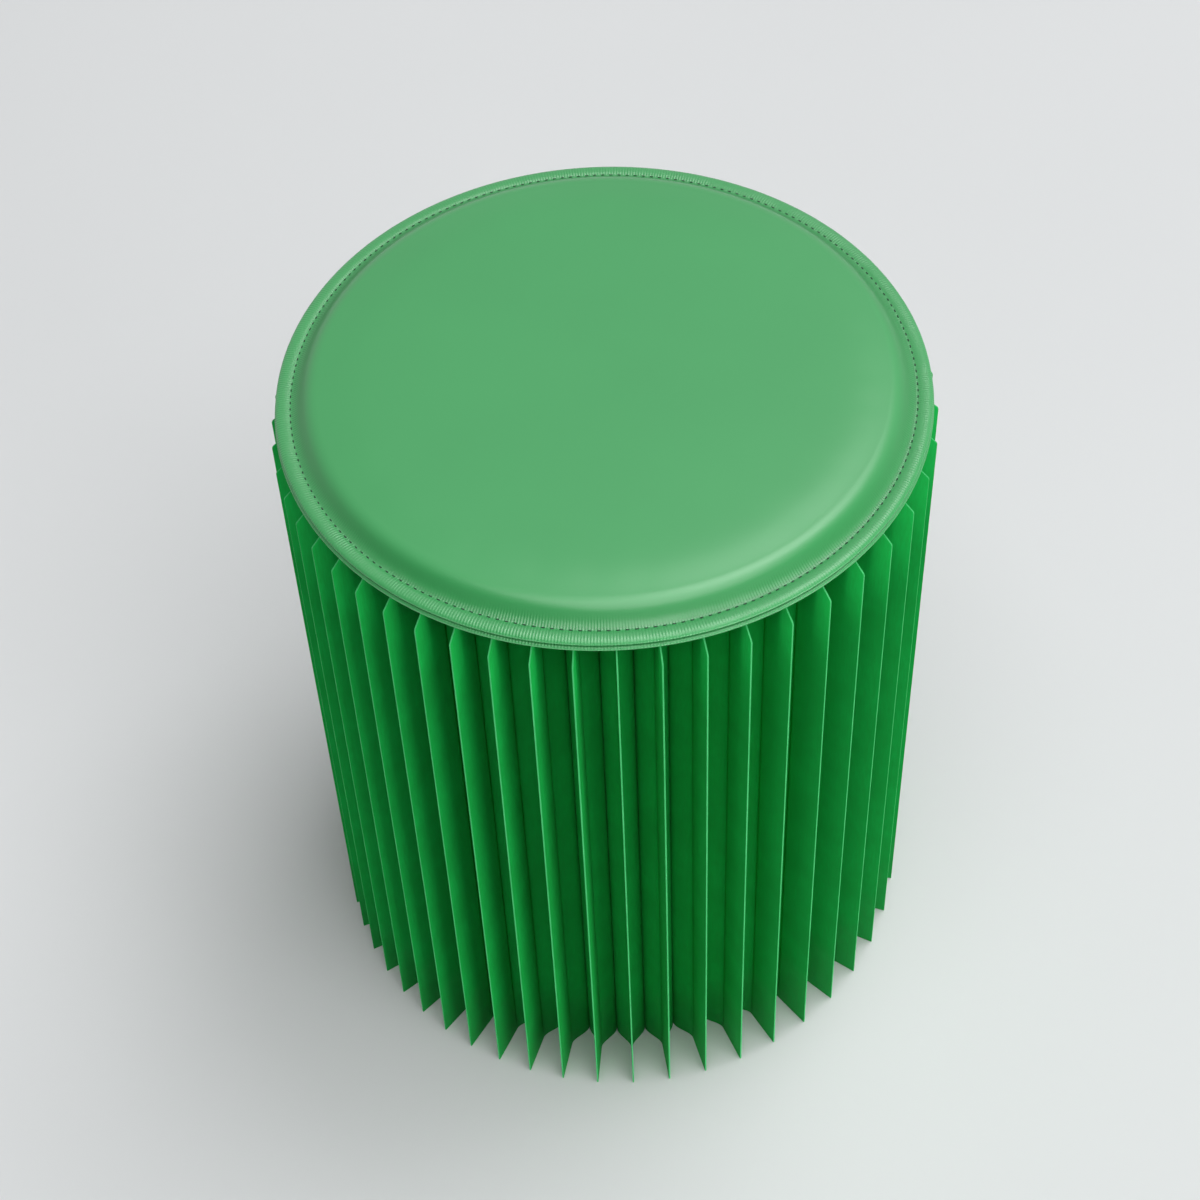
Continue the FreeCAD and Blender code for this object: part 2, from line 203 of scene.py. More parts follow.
def light_room():
    """The faint glow all round, and the lamps."""
    world = bpy.data.worlds.new("soft_room")
    scene.world = world
    world.use_nodes = True
    tree = world.node_tree
    tree.nodes.clear()
    rays = add_node(tree, "ShaderNodeLightPath").outputs
    way = add_node(tree, "ShaderNodeSeparateXYZ", {
        0: add_node(tree, "ShaderNodeTexCoord").outputs["Generated"],
    })
    behind = add_node(tree, "ShaderNodeMapRange", {
        "Value": way.outputs["Y"], "From Min": WALL_START, "From Max": WALL_FULL,
    })
    mirrored = add_node(tree, "ShaderNodeMath", {
        0: rays["Is Glossy Ray"], 1: behind.outputs["Result"],
    }, operation="MULTIPLY")
    seen = rays["Is Camera Ray"]
    for kind in (mirrored.outputs[0], rays["Is Transmission Ray"]):
        seen = add_node(tree, "ShaderNodeMath", {0: seen, 1: kind}, operation="MAXIMUM").outputs[0]
    glow = add_node(tree, "ShaderNodeBackground", {"Color": linear("#FCFDFF"), "Strength": GLOW_SHARE})
    backdrop = add_node(tree, "ShaderNodeBackground", {"Color": linear(FLOOR_COLOUR), "Strength": 1.0})
    mixed = add_node(tree, "ShaderNodeMixShader", {
        0: seen, 1: glow.outputs["Background"], 2: backdrop.outputs["Background"],
    })
    add_node(tree, "ShaderNodeOutputWorld", {"Surface": mixed.outputs["Shader"]})
    for name, lamp in LAMPS.items():
        hang_lamp(name, **lamp)


scene.view_settings.view_transform = "Standard"
make_floor()
light_room()

# %% [markdown]
# ## The paper
# The leaves are kraft paper dyed right through. It is dull, with faint streaks of fibre along the height,
# and its cut edges are paler and rougher than its faces. One could paint such streaks as a picture; noise
# stretched along the height gives them at any size, and stays with the piece.

# %% Paper
PAPER_GREEN = "#08A343"
FIBRE_WIDTH = 1.1 * MM  # real fibres are finer, and would not show
CLOUD_SIZE = 30 * MM


def make_paper(name, light_colour, dark_colour, roughness, fibre_depth):
    """Dyed kraft paper: dull, cloudy and streaked with fibres that run up the leaf."""
    material, tree, shader, place = start_material(name, roughness, ior=1.45)
    streaks = add_node(tree, "ShaderNodeMapping", {"Vector": place, "Scale": (1.0, 1.0, 0.12)})
    fibres = add_node(tree, "ShaderNodeTexNoise", {
        "Vector": streaks.outputs["Vector"], "Scale": 1 / FIBRE_WIDTH, "Detail": 3.0, "Roughness": 0.6,
    })
    clouds = add_node(tree, "ShaderNodeTexNoise", {"Vector": place, "Scale": 1 / CLOUD_SIZE, "Detail": 2.0})
    both = add_node(tree, "ShaderNodeMath", {
        0: fibres.outputs["Fac"], 1: clouds.outputs["Fac"],
    }, operation="MULTIPLY")
    share = add_node(tree, "ShaderNodeMapRange", {
        "Value": both.outputs[0], "From Min": 0.12, "From Max": 0.40,
    })
    blend = add_node(tree, "ShaderNodeMix", {
        "Factor": share.outputs["Result"], MIX_A: linear(dark_colour), MIX_B: linear(light_colour),
    }, data_type="RGBA")
    dullness = add_node(tree, "ShaderNodeMapRange", {
        "Value": fibres.outputs["Fac"], "To Min": roughness - 0.06, "To Max": roughness + 0.06,
    })
    relief = add_node(tree, "ShaderNodeBump", {
        "Height": fibres.outputs["Fac"], "Strength": 0.35, "Distance": fibre_depth,
    })
    tree.links.new(blend.outputs[MIX_RESULT], shader.inputs["Base Color"])
    tree.links.new(dullness.outputs["Result"], shader.inputs["Roughness"])
    tree.links.new(relief.outputs["Normal"], shader.inputs["Normal"])
    shader.inputs["Specular IOR Level"].default_value = 0.2
    return material


leaf_paper = make_paper("dyed_kraft_paper", PAPER_GREEN, "#06963A", 0.80, 0.03 * MM)
cut_paper = make_paper("dyed_kraft_paper_cut_edge", "#4FC176", "#3DB266", 0.88, 0.06 * MM)
board_paper = make_paper("kraft_paper_on_greyboard", "#089C40", "#069038", 0.72, 0.02 * MM)
print("papers:", leaf_paper.name, cut_paper.name, board_paper.name)

# %% [markdown]
# ## The rule of one leaf
# A leaf starts flat. Glue strips hold it to one neighbour at the fin and to the other at the valley, in
# turns, so from above it runs to and fro in soft curves, each flat where it is glued. The strip at the rim
# is wide: there a fin stands stiff, and then its leaves part quickly into the first valleys. That is a rule,
# so Geometry Nodes can make it: a plain grid is bent by formulas of the distance from the rim, its top
# outer corner is cut off, and a second skin a paper's thickness away closes it. Columns of the grid
# stand closer together at the outer end, where the eye is.

# %% Sizes of the leaves
GLUE_STEPS = 5
LAST_FIN_LINE = GLUE_STEPS - 1
LEAF_SIZES = {
    "Rim radius": 175.0 * MM,
    "Spine radius": 7.918 * MM,
    "Leaf height": 420.0 * MM,
    "Corner cut": 10.0 * MM,
    "Corner rounding": 2.0 * MM,
    "Rim glue width": 24.0 * MM,
    "Rim depth": 42.0 * MM,
    "Glue width": 8.0 * MM,
    "Glue film": 0.05 * MM,
    "Paper thickness": 0.35 * MM,
}
FIRST_VALLEY = LEAF_SIZES["Rim radius"] - LEAF_SIZES["Rim depth"]
GLUE_PITCH = (FIRST_VALLEY - LEAF_SIZES["Spine radius"]) / LAST_FIN_LINE
PAIR_LIFT = LEAF_SIZES["Glue film"] / 2
COVER_LIFT = 2.1 * MM
PAIR_STRIP_END = FIRST_VALLEY - (LAST_FIN_LINE - 1) * GLUE_PITCH - LEAF_SIZES["Glue width"] / 2
COVER_STRIP_END = 35.0 * MM
RIM_STRIP_END = LEAF_SIZES["Rim radius"] - LEAF_SIZES["Rim glue width"]
print("first valley at, mm:", round(FIRST_VALLEY / MM, 1), "then glue every", round(GLUE_PITCH / MM, 2))


def start_tree(name, inputs):
    """A new tree with named inputs, and one mesh as its result."""
    tree = bpy.data.node_groups.new(name, "GeometryNodeTree")
    for label, kind in inputs.items():
        tree.interface.new_socket(label, in_out="INPUT", socket_type=kind)
    tree.interface.new_socket("Mesh", in_out="OUTPUT", socket_type="NodeSocketGeometry")
    return tree, add_node(tree, "NodeGroupInput").outputs


# %% One leaf as a tree
ROWS = 8
CROWDING = 1.6  # how much closer the columns stand at the outer end
ROUND_LENGTH, ROUND_DROP = 0.3, 0.41  # how far the corner's rounding runs in along the cut, and down the rim
WELD_DISTANCE = 0.01 * MM
PART_INPUTS = {  # how a leaf is held, and which part of it is made
    "Lift": "NodeSocketFloat", "Strip end": "NodeSocketFloat",
    "Outer end": "NodeSocketFloat", "Inner end": "NodeSocketFloat", "Columns": "NodeSocketInt",
}


def leaf_tree():
    """One leaf along +X, folded between its fin at Y = 0 and the valley on its +Y side."""
    sizes = {label: "NodeSocketFloat" for label in LEAF_SIZES}
    tree, given = start_tree("paper_leaf", {"Half gap": "NodeSocketFloat", **PART_INPUTS, **sizes})
    grid = add_node(tree, "GeometryNodeMeshGrid", {
        "Size X": 1.0, "Size Y": 1.0, "Vertices X": given["Columns"], "Vertices Y": ROWS,
    })
    spot = add_node(tree, "ShaderNodeSeparateXYZ", {
        0: add_node(tree, "GeometryNodeInputPosition").outputs["Position"],
    })
    inward = add_node(tree, "ShaderNodeMath", {0: 0.5, 1: spot.outputs["X"]}, operation="SUBTRACT")
    crowded = add_node(tree, "ShaderNodeMath", {0: inward.outputs[0], 1: CROWDING}, operation="POWER")
    along = add_node(tree, "ShaderNodeMapRange", {
        "Value": crowded.outputs[0], "To Min": given["Outer end"], "To Max": given["Inner end"],
    }).outputs["Result"]

    first_valley = add_node(tree, "ShaderNodeMath", {
        0: given["Rim radius"], 1: given["Rim depth"],
    }, operation="SUBTRACT")
    at_rim = add_node(tree, "FunctionNodeCompare", {
        0: along, 1: first_valley.outputs[0],
    }, operation="GREATER_THAN")
    span = add_node(tree, "ShaderNodeMath", {
        0: first_valley.outputs[0], 1: given["Spine radius"],
    }, operation="SUBTRACT")
    pitch = add_node(tree, "ShaderNodeMath", {
        0: span.outputs[0], 1: float(LAST_FIN_LINE),
    }, operation="DIVIDE")
    step = add_node(tree, "GeometryNodeSwitch", {
        "Switch": at_rim.outputs["Result"], "False": pitch.outputs[0], "True": given["Rim depth"],
    }, input_type="FLOAT")
    past_valley = add_node(tree, "ShaderNodeMath", {
        0: first_valley.outputs[0], 1: along,
    }, operation="SUBTRACT")
    past_steps = add_node(tree, "ShaderNodeMath", {
        0: past_valley.outputs[0], 1: step.outputs["Output"],
    }, operation="DIVIDE")
    line = add_node(tree, "ShaderNodeMath", {0: past_steps.outputs[0], 1: 1.0}, operation="ADD")

    rim_strip = add_node(tree, "ShaderNodeMath", {
        0: given["Rim glue width"], 1: given["Rim depth"],
    }, operation="DIVIDE")
    strip = add_node(tree, "ShaderNodeMath", {
        0: given["Glue width"], 1: step.outputs["Output"],
    }, operation="DIVIDE")
    half_strip = add_node(tree, "ShaderNodeMath", {0: strip.outputs[0], 1: 2.0}, operation="DIVIDE")
    last_reach = add_node(tree, "ShaderNodeMath", {
        0: given["Strip end"], 1: given["Spine radius"],
    }, operation="SUBTRACT")
    last_share = add_node(tree, "ShaderNodeMath", {
        0: last_reach.outputs[0], 1: pitch.outputs[0],
    }, operation="DIVIDE")
    last_half = add_node(tree, "ShaderNodeMath", {0: 1.0, 1: last_share.outputs[0]}, operation="SUBTRACT")

    at_spine = add_node(tree, "FunctionNodeCompare", {
        0: line.outputs[0], 1: float(LAST_FIN_LINE),
    }, operation="GREATER_THAN")
    inner_flat = add_node(tree, "GeometryNodeSwitch", {
        "Switch": at_spine.outputs["Result"], "False": half_strip.outputs[0], "True": last_half.outputs[0],
    }, input_type="FLOAT")
    flat = add_node(tree, "GeometryNodeSwitch", {
        "Switch": at_rim.outputs["Result"], "False": inner_flat.outputs[0], "True": rim_strip.outputs[0],
    }, input_type="FLOAT")
    to_and_fro = add_node(tree, "ShaderNodeMath", {0: line.outputs[0], 1: 1.0}, operation="PINGPONG")
    valley_flat = add_node(tree, "ShaderNodeMath", {0: 1.0, 1: half_strip.outputs[0]}, operation="SUBTRACT")
    swing = add_node(tree, "ShaderNodeMapRange", {
        "Value": to_and_fro.outputs[0], "From Min": flat.outputs[0], "From Max": valley_flat.outputs[0],
    }, interpolation_type="SMOOTHSTEP")

    slope = add_node(tree, "ShaderNodeMath", {0: given["Half gap"]}, operation="TANGENT")
    half_film = add_node(tree, "ShaderNodeMath", {0: given["Glue film"], 1: 2.0}, operation="DIVIDE")
    room = add_node(tree, "ShaderNodeMath", {
        0: given["Paper thickness"], 1: half_film.outputs[0],
    }, operation="ADD")
    valley_line = add_node(tree, "ShaderNodeMath", {0: along, 1: slope.outputs[0]}, operation="MULTIPLY")
    valley = add_node(tree, "ShaderNodeMath", {
        0: valley_line.outputs[0], 1: room.outputs[0],
    }, operation="SUBTRACT")
    across = add_node(tree, "ShaderNodeMapRange", {
        "Value": swing.outputs["Result"], "To Min": given["Lift"], "To Max": valley.outputs[0],
    })

    cut_start = add_node(tree, "ShaderNodeMath", {
        0: given["Rim radius"], 1: given["Corner cut"],
    }, operation="SUBTRACT")
    past_cut = add_node(tree, "ShaderNodeMath", {0: along, 1: cut_start.outputs[0]}, operation="SUBTRACT")
    cut = add_node(tree, "ShaderNodeMath", {
        0: past_cut.outputs[0], 1: 0.0, 2: given["Corner rounding"],
    }, operation="SMOOTH_MAX")
    round_start = add_node(tree, "ShaderNodeMath", {
        0: given["Corner rounding"], 1: -ROUND_LENGTH, 2: given["Rim radius"],
    }, operation="MULTIPLY_ADD")
    round_share = add_node(tree, "ShaderNodeMapRange", {
        "Value": along, "From Min": round_start.outputs[0], "From Max": given["Rim radius"],
    })
    round_curve = add_node(tree, "ShaderNodeMath", {
        0: round_share.outputs["Result"], 1: 2.0,
    }, operation="POWER")
    round_drop = add_node(tree, "ShaderNodeMath", {
        0: given["Corner rounding"], 1: ROUND_DROP,
    }, operation="MULTIPLY")
    drop = add_node(tree, "ShaderNodeMath", {
        0: round_curve.outputs[0], 1: round_drop.outputs[0], 2: cut.outputs[0],
    }, operation="MULTIPLY_ADD")
    top = add_node(tree, "ShaderNodeMath", {
        0: given["Leaf height"], 1: drop.outputs[0],
    }, operation="SUBTRACT")
    up_share = add_node(tree, "ShaderNodeMath", {0: spot.outputs["Y"], 1: 0.5}, operation="ADD")
    height = add_node(tree, "ShaderNodeMath", {
        0: up_share.outputs[0], 1: top.outputs[0],
    }, operation="MULTIPLY")

    bent = add_node(tree, "ShaderNodeCombineXYZ", {
        "X": along, "Y": across.outputs["Result"], "Z": height.outputs[0],
    })
    near_skin = add_node(tree, "GeometryNodeSetPosition", {
        "Geometry": grid.outputs["Mesh"], "Position": bent.outputs["Vector"],
    })
    thickness = add_node(tree, "ShaderNodeCombineXYZ", {"Y": given["Paper thickness"]})
    far_skin = add_node(tree, "GeometryNodeExtrudeMesh", {
        "Mesh": near_skin.outputs["Geometry"], "Offset": thickness.outputs["Vector"],
        "Offset Scale": 1.0, "Individual": False,
    }, mode="FACES")
    marked = add_node(tree, "GeometryNodeStoreNamedAttribute", {
        "Geometry": far_skin.outputs["Mesh"], "Name": "cut_edge", "Value": far_skin.outputs["Side"],
    }, data_type="BOOLEAN", domain="FACE")
    turned_out = add_node(tree, "GeometryNodeFlipFaces", {"Mesh": marked.outputs["Geometry"]})
    both = add_node(tree, "GeometryNodeJoinGeometry", {
        "Geometry": [near_skin.outputs["Geometry"], turned_out.outputs["Mesh"]],
    })
    closed = add_node(tree, "GeometryNodeMergeByDistance", {
        "Geometry": both.outputs["Geometry"], "Distance": WELD_DISTANCE,
    })
    add_node(tree, "NodeGroupOutput", {"Mesh": closed.outputs["Geometry"]})
    return tree


one_leaf = leaf_tree()
print("nodes in the rule of one leaf:", len(one_leaf.nodes))

# %% [markdown]
# ## Pairs of leaves
# Two leaves glued at the rim make a fin. A second, smaller tree uses the rule twice, once mirrored, turns
# the pair to where its fin points, and gives faces and cut edges their papers. The gaps on the two sides
# of a fin differ a little, because the ring was pulled open by hand and stands closer on one side.

# %% A pair as a tree


def pair_tree():
    """Two leaves back to back, turned to their place in the ring."""
    sizes = {label: "NodeSocketFloat" for label in LEAF_SIZES}
    tree, given = start_tree("leaf_pair", {
        "Gap ahead": "NodeSocketFloat", "Gap behind": "NodeSocketFloat", "Turn": "NodeSocketFloat",
        "Has ahead": "NodeSocketBool", "Has behind": "NodeSocketBool", **PART_INPUTS, **sizes,
        "Face paper": "NodeSocketMaterial", "Edge paper": "NodeSocketMaterial",
    })
    shared = {label: given[label] for label in [*LEAF_SIZES, *PART_INPUTS]}
    ahead = add_node(tree, "GeometryNodeGroup", node_tree=one_leaf)
    behind = add_node(tree, "GeometryNodeGroup", node_tree=one_leaf)
    for leaf, gap in ((ahead, "Gap ahead"), (behind, "Gap behind")):
        for label, value in {**shared, "Half gap": given[gap]}.items():
            tree.links.new(value, leaf.inputs[label])
    mirrored = add_node(tree, "GeometryNodeTransform", {
        "Geometry": behind.outputs["Mesh"], "Scale": (1.0, -1.0, 1.0),
    })
    turned_out = add_node(tree, "GeometryNodeFlipFaces", {"Mesh": mirrored.outputs["Geometry"]})
    kept = []
    for has, mesh in (("Has ahead", ahead.outputs["Mesh"]), ("Has behind", turned_out.outputs["Mesh"])):
        kept.append(add_node(tree, "GeometryNodeSwitch", {
            "Switch": given[has], "True": mesh,
        }, input_type="GEOMETRY").outputs["Output"])
    both = add_node(tree, "GeometryNodeJoinGeometry", {"Geometry": kept})
    way = add_node(tree, "ShaderNodeCombineXYZ", {"Z": given["Turn"]})
    turned = add_node(tree, "GeometryNodeTransform", {
        "Geometry": both.outputs["Geometry"], "Rotation": way.outputs["Vector"],
    })
    is_edge = add_node(tree, "GeometryNodeInputNamedAttribute", {"Name": "cut_edge"}, data_type="BOOLEAN")
    is_face = add_node(tree, "FunctionNodeBooleanMath", {
        0: is_edge.outputs["Attribute"],
    }, operation="NOT")
    smooth = add_node(tree, "GeometryNodeSetShadeSmooth", {
        0: turned.outputs["Geometry"], "Shade Smooth": is_face.outputs["Boolean"],
    })
    real = add_node(tree, "GeometryNodeRealizeInstances", {"Geometry": smooth.outputs[0]})
    faced = add_node(tree, "GeometryNodeSetMaterial", {
        "Geometry": real.outputs["Geometry"], "Material": given["Face paper"],
    })
    edged = add_node(tree, "GeometryNodeSetMaterial", {
        "Geometry": faced.outputs["Geometry"], "Selection": is_edge.outputs["Attribute"],
        "Material": given["Edge paper"],
    })
    add_node(tree, "NodeGroupOutput", {"Mesh": edged.outputs["Geometry"]})
    return tree


two_leaves = pair_tree()


def grow(name, tree, values):
    """Run a tree with these inputs, and keep its result as a plain mesh."""
    piece = bpy.data.objects.new(name, bpy.data.meshes.new(name))
    scene.collection.objects.link(piece)
    rule = piece.modifiers.new("rule", "NODES")
    rule.node_group = tree
    sockets = [item for item in tree.interface.items_tree if item.in_out == "INPUT"]
    for socket in sockets:
        rule[socket.identifier] = values[socket.name]
    depsgraph = bpy.context.evaluated_depsgraph_get()
    grown = bpy.data.meshes.new_from_object(piece.evaluated_get(depsgraph))
    piece.modifiers.remove(rule)
    piece.data = grown
    grown.name = name
    return piece


print("nodes in a pair:", len(two_leaves.nodes))

# %% [markdown]
# ## Where the fins point
# The frame already knows: each pair's joint turns it from its place in the ring to the middle pair, which
# points straight to the front. So the pair's direction is the front plus or minus its joint's range.
# When the stool folds up, the leaves lie flat. A mesh that rides on a rigid body cannot do that alone. Each
# pair is made in two pieces: its glued rim, stiff and flat already, which keeps its thickness, as the rims
# make the fore-edge of the closed book; and the webs behind it. Both ride on the body of their pair as they
# are.

# %% Make the leaves
FRONT = -90.0
MIDDLE_PAIR = 25
LAST_PLACE = 50
PAIR_PARTS = {
    "glued_rim": {"Outer end": LEAF_SIZES["Rim radius"], "Inner end": RIM_STRIP_END, "Columns": 24},
    "folded_leaves": {"Outer end": RIM_STRIP_END, "Inner end": LEAF_SIZES["Spine radius"], "Columns": 84},
}
WHOLE_LEAF = {"Outer end": LEAF_SIZES["Rim radius"], "Inner end": LEAF_SIZES["Spine radius"], "Columns": 96}
joints = {joint["name"]: joint for joint in frame["joints"]}


def fin_turn(joint):
    """The direction of a fin, in degrees, from the joint that closes it."""
    return FRONT - joint["axis"][2] * joint["range_deg"][1]


turns = {MIDDLE_PAIR: FRONT, 0: fin_turn(joints["fold_left_cover"]), LAST_PLACE: fin_turn(joints["fold"])}
for place in range(1, LAST_PLACE):
    if place != MIDDLE_PAIR:
        turns[place] = fin_turn(joints[f"fold_pair_{place:02d}"])

COVER_REACH = 2.6 * MM  # half the seam's gap, a board, its glue, a leaf and a little slack
COVER_HALF_GAP = math.degrees(math.atan2(COVER_REACH, COVER_STRIP_END))
half_gaps = {valley: (turns[valley + 1] - turns[valley]) / 2 for valley in range(1, LAST_PLACE - 1)}
half_gaps[0] = turns[1] - turns[0] - COVER_HALF_GAP
half_gaps[LAST_PLACE - 1] = turns[LAST_PLACE] - turns[LAST_PLACE - 1] - COVER_HALF_GAP


def flatten_with(piece):
    """Give a piece its own copy of its mesh."""
    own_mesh(piece)


def make_pair(place):
    """The two leaves of one fin, as a stiff rim and its webs, on the body of their pair."""
    ahead, behind = half_gaps[place], half_gaps[place - 1]
    turn = math.radians(turns[place])
    is_middle = place == MIDDLE_PAIR
    pieces = {}
    for part, ends in PAIR_PARTS.items():
        pieces[part] = grow(f"{part}_{place:02d}", two_leaves, {
            **LEAF_SIZES, **ends, "Gap ahead": math.radians(ahead), "Gap behind": math.radians(behind),
            "Turn": turn, "Has ahead": True, "Has behind": True, "Lift": PAIR_LIFT,
            "Strip end": PAIR_STRIP_END, "Face paper": leaf_paper, "Edge paper": cut_paper,
        })
        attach(pieces[part], "middle_pair" if is_middle else f"pair_{place:02d}")
        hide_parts(f"leaf_pair_{place:02d}")
    flatten_with(pieces["folded_leaves"])
    return list(pieces.values())


pairs = [make_pair(place) for place in range(1, LAST_PLACE)]
pair_faces = sum(len(piece.data.polygons) for pair in pairs for piece in pair)
print("pairs:", len(pairs), "with", pair_faces, "faces")

# %% [markdown]
# ## The covers
# The first and the last leaf are glued to stiff boards, and magnets in the boards hold the ring shut.
# These two leaves follow the same rule as the rest, lifted by a board's thickness, with no partner.
# The boards and magnets are flat and stiff, so their solids already have the right shape and stay; they
# only need what they are made of: board wrapped in the same paper, and nickel-plated magnets.

# %% Cover leaves


def make_cover_leaf(side, place):
    """The single leaf on the inside of one cover board."""
    is_left = side == "left"
    turn = math.radians(turns[place])
    gap = math.radians(COVER_HALF_GAP)
    piece = grow(f"cover_lining_{side}", two_leaves, {
        **LEAF_SIZES, **WHOLE_LEAF, "Gap ahead": gap, "Gap behind": gap, "Turn": turn,
        "Has ahead": is_left, "Has behind": not is_left, "Lift": COVER_LIFT, "Strip end": COVER_STRIP_END,
        "Face paper": leaf_paper, "Edge paper": cut_paper,
    })
    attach(piece, f"{side}_cover")
    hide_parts(f"cover_leaf_{side}")
    flatten_with(piece)
    return piece


linings = [
    make_cover_leaf("left", 0),
    make_cover_leaf("right", LAST_PLACE),
]
print("cover leaves:", [piece.name for piece in linings])

# %% Boards and magnets


def make_nickel():
    """Nickel plate on pressed magnets: bright, slightly warm, with a fine tumbled grain."""
    material, tree, shader, place = start_material("nickel_plate", 0.32)
    shader.inputs["Metallic"].default_value = 1.0
    shader.inputs["Base Color"].default_value = linear("#C9C5BC")
    grain = add_node(tree, "ShaderNodeTexNoise", {"Vector": place, "Scale": 1 / (0.6 * MM), "Detail": 3.0})
    dullness = add_node(tree, "ShaderNodeMapRange", {
        "Value": grain.outputs["Fac"], "To Min": 0.24, "To Max": 0.42,
    })
    relief = add_node(tree, "ShaderNodeBump", {
        "Height": grain.outputs["Fac"], "Strength": 0.2, "Distance": 0.01 * MM,
    })
    tree.links.new(dullness.outputs["Result"], shader.inputs["Roughness"])
    tree.links.new(relief.outputs["Normal"], shader.inputs["Normal"])
    return material


def make_greyboard():
    """Grey recycled board: dull, with flecks of fibre."""
    material, tree, shader, place = start_material("recycled_greyboard", 0.85)
    flecks = add_node(tree, "ShaderNodeTexNoise", {"Vector": place, "Scale": 1 / (1.5 * MM), "Detail": 4.0})
    blend = add_node(tree, "ShaderNodeMix", {
        "Factor": flecks.outputs["Fac"], MIX_A: linear("#8F877B"), MIX_B: linear("#B3AA9B"),
    }, data_type="RGBA")
    tree.links.new(blend.outputs[MIX_RESULT], shader.inputs["Base Color"])
    return material


def dress_node(node, material):
    """Give a CAD node, whose shape is right, the material it is really made of."""
    mesh = frame["nodes"][node].data
    mesh.materials.clear()
    mesh.materials.append(material)


nickel = make_nickel()
for side in ("left", "right"):
    dress_node(f"cover_board_{side}", board_paper)
    dress_node(f"cover_magnets_{side}", nickel)
dress_node("pad_base_board", make_greyboard())
print("dressed: boards, magnets and the pad's base")

# %% [markdown]
# ## Leatherette
# The pad is covered in thin polyurethane leatherette: an embossed skin on knitted backing. It has a fine
# pebble grain and a soft satin shine, and where it is sewn it gathers in fine ribs that point to the
# centre. A band of darker colour round the crown's slope, down to the lip, is painted shade. The grain
# comes from a Voronoi pattern, and the ribs from the angle about the pad's axis, so both stay right when
# the pad's mesh changes.

# %% Leatherette material
# the second colour is painted shade for the crown's slope
LEATHERETTE_GREEN, PAINTED_SLOPE_SHADE = "#3EA05A", "#2F8B4A"
GRAIN_SIZE = 1.3 * MM  # real grain is about half that, and would not show
PORE_SIZE = 0.8 * MM
MOTTLE_SIZE = 60 * MM
RELIEF_DEPTH = 0.12 * MM
RIB_PITCH = 1.6 * MM
RIB_FADE = 6 * MM
RIB_PATCH = 18 * MM  # the ribs are stronger in some patches of this size than in others
CROWN_FOOT = 162.0 * MM
# the middle radius and half width of the band of painted shade round the crown's slope
SLOPE_SHADE_RADIUS, SLOPE_SHADE_WIDTH = 158.0 * MM, 8.0 * MM
PAD_RADIUS = 171.5 * MM


